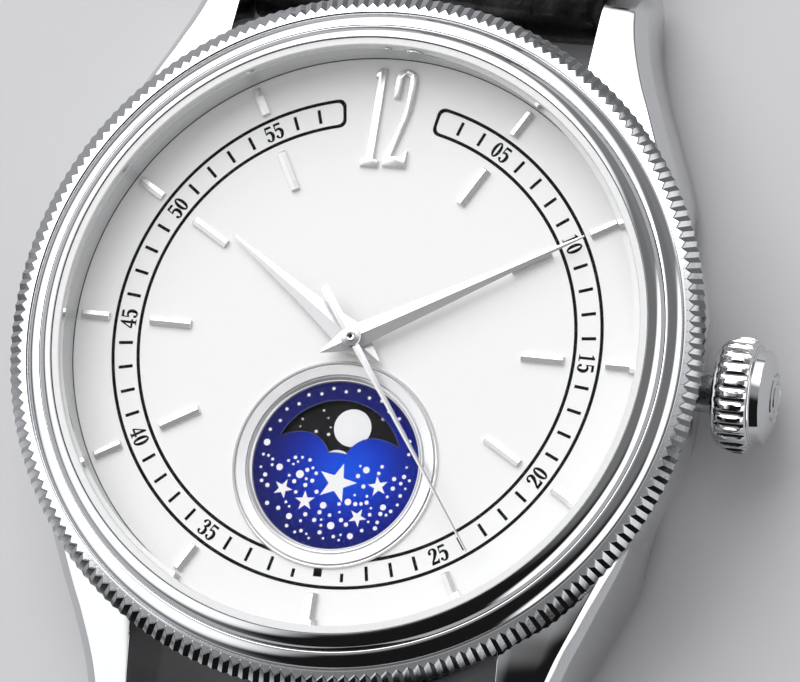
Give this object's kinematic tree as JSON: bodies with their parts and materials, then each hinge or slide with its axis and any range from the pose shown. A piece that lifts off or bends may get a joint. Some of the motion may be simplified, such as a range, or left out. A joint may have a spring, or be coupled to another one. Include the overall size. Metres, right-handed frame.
{
  "type": "wristwatch",
  "caption": "Round quartz dress wristwatch with coin-edge bezel, moon-phase window, fluted crown and black leather pin-buckle strap lying open.",
  "frame": {"origin": "centre of the case back's outer face, which lies on the table", "axes": "+Z out of the dial, +Y towards 12 o'clock along the strap, +X towards the crown"},
  "size_m": [0.0457, 0.2436, 0.0109],
  "materials": {
    "polished_steel": "mirror-polished stainless steel",
    "brushed_steel": "fine turned stainless steel",
    "movement_steel": "satin hardened steel",
    "movement_brass": "gilt brass",
    "dial_white": "silky white lacquer with black printing",
    "crystal_glass": "clear mineral crystal",
    "sky_enamel": "glossy blue lacquer with pale printed stars",
    "night_enamel": "black lacquer with white printed moons",
    "gasket_rubber": "matt black rubber",
    "gasket_clear": "white nylon",
    "holder_plastic": "white moulded plastic",
    "gear_plastic": "white moulded plastic",
    "board_green": "green circuit laminate",
    "chip_black": "black epoxy",
    "coil_copper": "enamelled copper wire",
    "strap_leather": "glossy black embossed calf leather",
    "strap_lining": "matt dark brown lining leather"
  },
  "bodies": {
    "case": {"case_middle": "polished_steel", "bezel": "polished_steel", "crystal": "crystal_glass", "crystal_gasket": "gasket_clear", "rehaut_ring": "polished_steel", "case_back": "brushed_steel", "case_back_gasket": "gasket_rubber", "crown_tube": "movement_steel", "dial": "dial_white", "moon_plate": "sky_enamel", "moon_frame": "polished_steel", "outer_indices": "polished_steel", "inner_indices": "polished_steel", "numeral_12": "polished_steel", "movement_ring": "holder_plastic", "main_plate": "movement_brass", "train_bridge": "movement_steel", "movement_screws": "movement_steel", "battery": "brushed_steel", "battery_clamp": "movement_steel", "circuit_board": "board_green", "quartz_can": "brushed_steel", "circuit_chip": "chip_black", "coil": "coil_copper", "coil_core": "movement_steel", "stator": "movement_steel", "moon_jumper": "movement_steel", "spring_bars": "movement_steel"},
    "minute": {"minute_hand": "polished_steel", "cannon_wheel": "movement_brass"},
    "second": {"second_hand": "polished_steel", "fourth_wheel": "movement_brass"},
    "hour": {"hour_hand": "polished_steel", "hour_wheel": "movement_brass"},
    "day": {"day_wheel": "movement_brass"},
    "moon": {"moon_disc": "night_enamel"},
    "third": {"third_wheel": "movement_brass"},
    "step": {"step_wheel": "gear_plastic"},
    "rotor": {"rotor": "movement_steel"},
    "minute_works": {"minute_wheel": "movement_brass"},
    "setting": {"setting_wheel": "movement_brass"},
    "crown_slide": {"crown_gasket": "gasket_rubber"},
    "crown": {"crown": "polished_steel", "stem": "movement_steel"},
    "clutch": {"sliding_pinion": "movement_steel"},
    "lever": {"setting_lever": "movement_steel"},
    "yoke": {"yoke": "movement_steel"},
    "strap_12": {"strap_12": "strap_leather", "strap_12_lining": "strap_lining", "fixed_keeper": "strap_leather"},
    "keeper": {"free_keeper": "strap_leather"},
    "buckle": {"buckle_frame": "polished_steel", "buckle_bar": "polished_steel"},
    "tongue": {"buckle_tongue": "polished_steel"},
    "strap_6": {"strap_6": "strap_leather", "strap_6_lining": "strap_lining"}
  },
  "joints": [
    {"name": "minute_turn", "type": "hinge", "parent": "case", "child": "minute", "pos_m": [0, 0, 0.005], "axis": [0, 0, -1], "continuous": true},
    {"name": "second_turn", "type": "hinge", "parent": "case", "child": "second", "pos_m": [0, 0, 0.005], "axis": [0, 0, -1], "continuous": true},
    {"name": "hour_turn", "type": "hinge", "parent": "case", "child": "hour", "pos_m": [0, 0, 0.005], "axis": [0, 0, -1], "continuous": true},
    {"name": "moon_turn", "type": "hinge", "parent": "case", "child": "moon", "pos_m": [0, -0.0075, 0.006], "axis": [0, 0, -1], "continuous": true},
    {"name": "third_turn", "type": "hinge", "parent": "case", "child": "third", "pos_m": [0.00116, 0.00435, 0.004], "axis": [0, 0, -1], "continuous": true},
    {"name": "step_turn", "type": "hinge", "parent": "case", "child": "step", "pos_m": [-0.00411, -0.0015, 0.003], "axis": [0, 0, -1], "continuous": true},
    {"name": "rotor_turn", "type": "hinge", "parent": "case", "child": "rotor", "pos_m": [-0.00643, 0.00031, 0.003], "axis": [0, 0, -1], "continuous": true},
    {"name": "minute_works_turn", "type": "hinge", "parent": "case", "child": "minute_works", "pos_m": [0.00346, 0.002, 0.0055], "axis": [0, 0, -1], "continuous": true},
    {"name": "setting_turn", "type": "hinge", "parent": "case", "child": "setting", "pos_m": [0.00673, 0, 0.005], "axis": [0, 0, -1], "continuous": true},
    {"name": "day_turn", "type": "hinge", "parent": "case", "child": "day", "pos_m": [-0.00313, -0.00222, 0.0062], "axis": [0, 0, -1], "continuous": true},
    {"name": "crown_pull", "type": "slide", "parent": "case", "child": "crown_slide", "axis": [1, 0, 0], "range_m": [0, 0.0011]},
    {"name": "crown_turn", "type": "hinge", "parent": "crown_slide", "child": "crown", "pos_m": [0.0212, 0, 0.004], "axis": [1, 0, 0], "continuous": true},
    {"name": "clutch_slide", "type": "slide", "parent": "case", "child": "clutch", "axis": [-1, 0, 0], "range_m": [0, 0.00088]},
    {"name": "lever_turn", "type": "hinge", "parent": "case", "child": "lever", "pos_m": [0.01145, -0.0029, 0.003], "axis": [0, 0, -1], "range_deg": [0, 27]},
    {"name": "yoke_turn", "type": "hinge", "parent": "case", "child": "yoke", "pos_m": [0.00906, 0.0032, 0.003], "axis": [0, 0, -1], "range_deg": [0, 22]},
    {"name": "strap_12_hinge", "type": "hinge", "parent": "case", "child": "strap_12", "pos_m": [0, 0.0224, 0.003], "axis": [-1, 0, 0], "range_deg": [-10, 90]},
    {"name": "strap_6_hinge", "type": "hinge", "parent": "case", "child": "strap_6", "pos_m": [0, -0.0224, 0.003], "axis": [1, 0, 0], "range_deg": [-10, 90]},
    {"name": "keeper_slide", "type": "slide", "parent": "strap_12", "child": "keeper", "axis": [0, 1, 0], "range_m": [-0.0075, 0.006]},
    {"name": "buckle_hinge", "type": "hinge", "parent": "strap_12", "child": "buckle", "pos_m": [0, 0.0974, 0.00265], "axis": [1, 0, 0], "range_deg": [-60, 30]},
    {"name": "tongue_hinge", "type": "hinge", "parent": "buckle", "child": "tongue", "pos_m": [0, 0.0974, 0.00265], "axis": [1, 0, 0], "range_deg": [0, 60]}
  ],
  "couplings": [
    {"joint": "second_turn", "follows": "minute_turn", "ratio": 60},
    {"joint": "hour_turn", "follows": "minute_turn", "ratio": 0.083333},
    {"joint": "moon_turn", "follows": "minute_turn", "ratio": 0.00070621},
    {"joint": "third_turn", "follows": "minute_turn", "ratio": -8},
    {"joint": "step_turn", "follows": "minute_turn", "ratio": -300},
    {"joint": "rotor_turn", "follows": "minute_turn", "ratio": 1800},
    {"joint": "minute_works_turn", "follows": "minute_turn", "ratio": -0.33333},
    {"joint": "setting_turn", "follows": "minute_turn", "ratio": 1.2},
    {"joint": "day_turn", "follows": "minute_turn", "ratio": -0.041667},
    {"joint": "clutch_slide", "follows": "crown_pull", "ratio": 0.8},
    {"joint": "lever_turn", "follows": "crown_pull", "rad_per_m": 418.01},
    {"joint": "yoke_turn", "follows": "crown_pull", "rad_per_m": 336.53}
  ]
}
